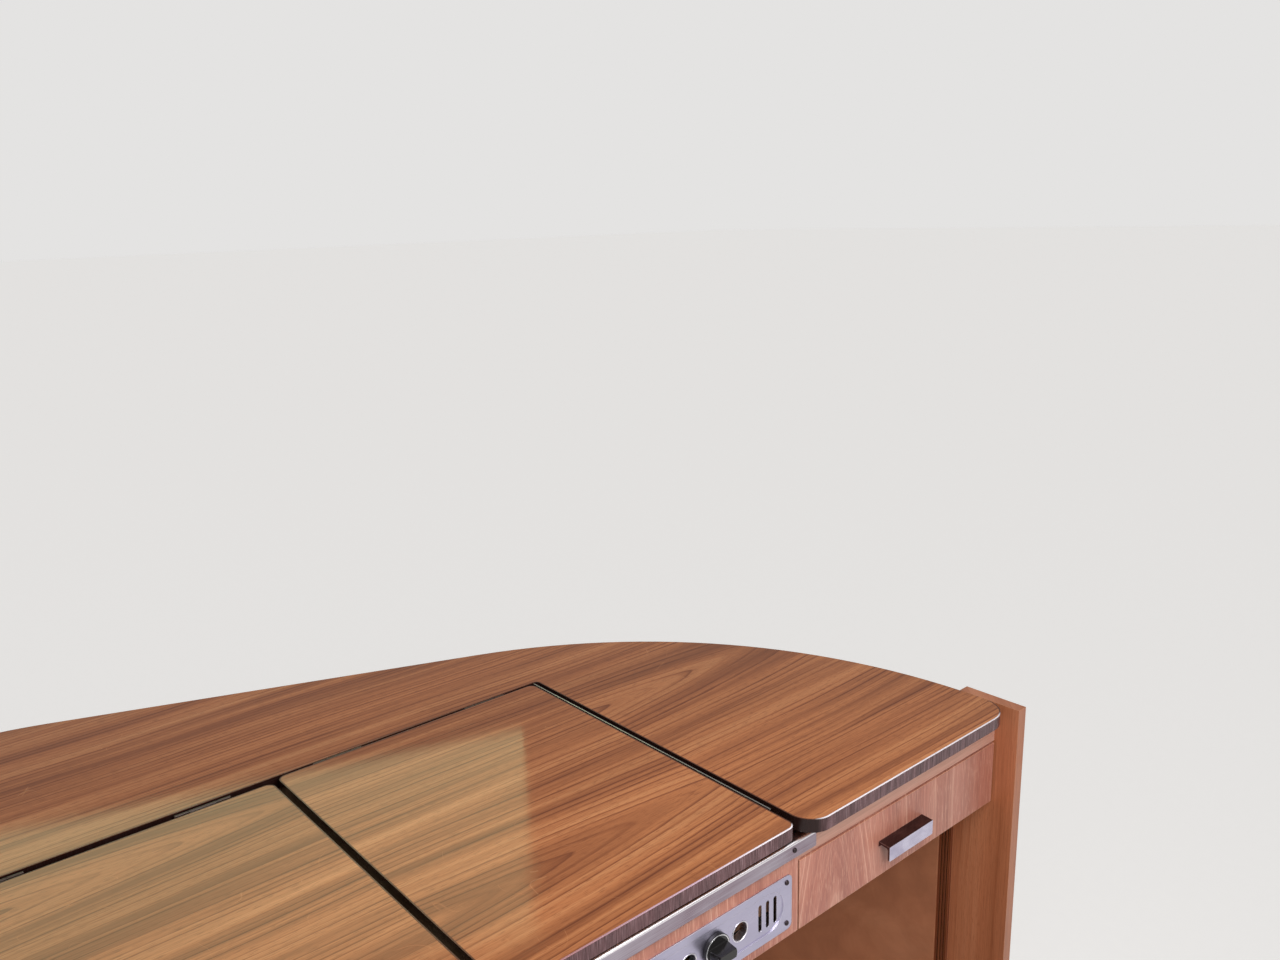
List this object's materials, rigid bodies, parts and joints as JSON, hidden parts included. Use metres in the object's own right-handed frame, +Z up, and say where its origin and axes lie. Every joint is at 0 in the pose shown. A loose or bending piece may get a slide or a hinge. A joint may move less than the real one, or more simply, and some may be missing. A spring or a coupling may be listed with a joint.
{
  "type": "caravan kitchen unit",
  "caption": "Caravan kitchen base unit with a laminated worktop, lift-up lids over a hob and a sink, gas controls, a drawer, an open bay and a two-door cupboard.",
  "frame": {"origin": "on the floor, under the middle of the bounding box", "axes": "+X to the right along the counter seen from the room, -Y is the front, +Z is up"},
  "size_m": [1.2, 0.85, 0.88],
  "materials": {
    "walnut_laminate": "gloss laminate",
    "edging": "satin, vertical grain",
    "front_veneer": "satin foil, vertical grain",
    "rail_wood": "satin foil",
    "panel_wood": "satin foil, vertical grain",
    "light_ply": "raw plywood",
    "reveal_foil": "satin",
    "wall_vinyl": "mottled vinyl",
    "pressed_steel": "brushed",
    "plate_steel": "brushed",
    "handle_aluminium": "bright anodised",
    "plated_steel": "plated",
    "bright_chrome": "polished",
    "black_plastic": "gloss",
    "white_plastic": "matt",
    "valve_brass": "plain",
    "burner_aluminium": "cast",
    "burner_enamel": "black enamel",
    "buffer_rubber": "matt"
  },
  "bodies": {
    "unit": {"worktop": "walnut_laminate", "worktop_edging": "edging", "fascia": "front_veneer", "top_rail": "rail_wood", "side_board": "panel_wood", "end_panel": "panel_wood", "partition": "panel_wood", "floor_board": "light_ply", "plinth": "light_ply", "cupboard_shelf": "light_ply", "cheek_left": "light_ply", "cheek_right": "light_ply", "back_rail": "light_ply", "sub_top": "light_ply", "reveal_moulding": "reveal_foil", "wall_lining": "wall_vinyl", "hob_top": "pressed_steel", "sink_top": "pressed_steel", "sink_bowl": "pressed_steel", "control_plate": "plate_steel", "strip_hinges": "plated_steel", "door_hinges_fixed": "plated_steel", "gap_profile": "plated_steel", "pan_support": "plated_steel", "tap_body": "bright_chrome", "control_knobs": "black_plastic", "sink_waste": "white_plastic", "drawer_runners": "white_plastic", "gas_valves": "valve_brass", "gas_pipe": "valve_brass", "gas_feeds": "valve_brass", "burner_bases": "burner_aluminium", "burner_caps": "burner_enamel", "lid_buffers": "buffer_rubber"},
    "lid_left": {"lid_left_board": "walnut_laminate", "lid_left_edging": "edging", "lid_left_hinges": "plated_steel"},
    "lid_right": {"lid_right_board": "walnut_laminate", "lid_right_edging": "edging", "lid_right_hinges": "plated_steel"},
    "drawer": {"drawer_front": "front_veneer", "drawer_handle": "handle_aluminium", "drawer_side_left": "light_ply", "drawer_side_right": "light_ply", "drawer_back": "light_ply", "drawer_bottom": "light_ply"},
    "door_left": {"door_left": "front_veneer", "door_left_handle": "handle_aluminium", "door_left_hinges": "plated_steel"},
    "door_right": {"door_right": "front_veneer", "door_right_handle": "handle_aluminium", "door_right_hinges": "plated_steel"},
    "tap_spout": {"tap_spout": "bright_chrome"}
  },
  "joints": [
    {"name": "lid_left_hinge", "type": "hinge", "parent": "unit", "child": "lid_left", "pos_m": [-0.34445, 0.05875, 0.8785], "axis": [-1, 0, 0], "range_deg": [0, 95]},
    {"name": "lid_right_hinge", "type": "hinge", "parent": "unit", "child": "lid_right", "pos_m": [0.01725, 0.0625, 0.8785], "axis": [-1, 0, 0], "range_deg": [0, 95]},
    {"name": "drawer_slide", "type": "slide", "parent": "unit", "child": "drawer", "axis": [0, -1, 0], "range_m": [0, 0.2]},
    {"name": "door_left_hinge", "type": "hinge", "parent": "unit", "child": "door_left", "pos_m": [-0.5955, -0.3925, 0.412], "axis": [0, 0, -1], "range_deg": [0, 95]},
    {"name": "door_right_hinge", "type": "hinge", "parent": "unit", "child": "door_right", "pos_m": [0.1045, -0.3925, 0.412], "axis": [0, 0, 1], "range_deg": [0, 95]},
    {"name": "tap_swivel", "type": "hinge", "parent": "unit", "child": "tap_spout", "pos_m": [-0.34445, 0, 0.845], "axis": [0, 0, 1], "range_deg": [-45, 45]}
  ]
}
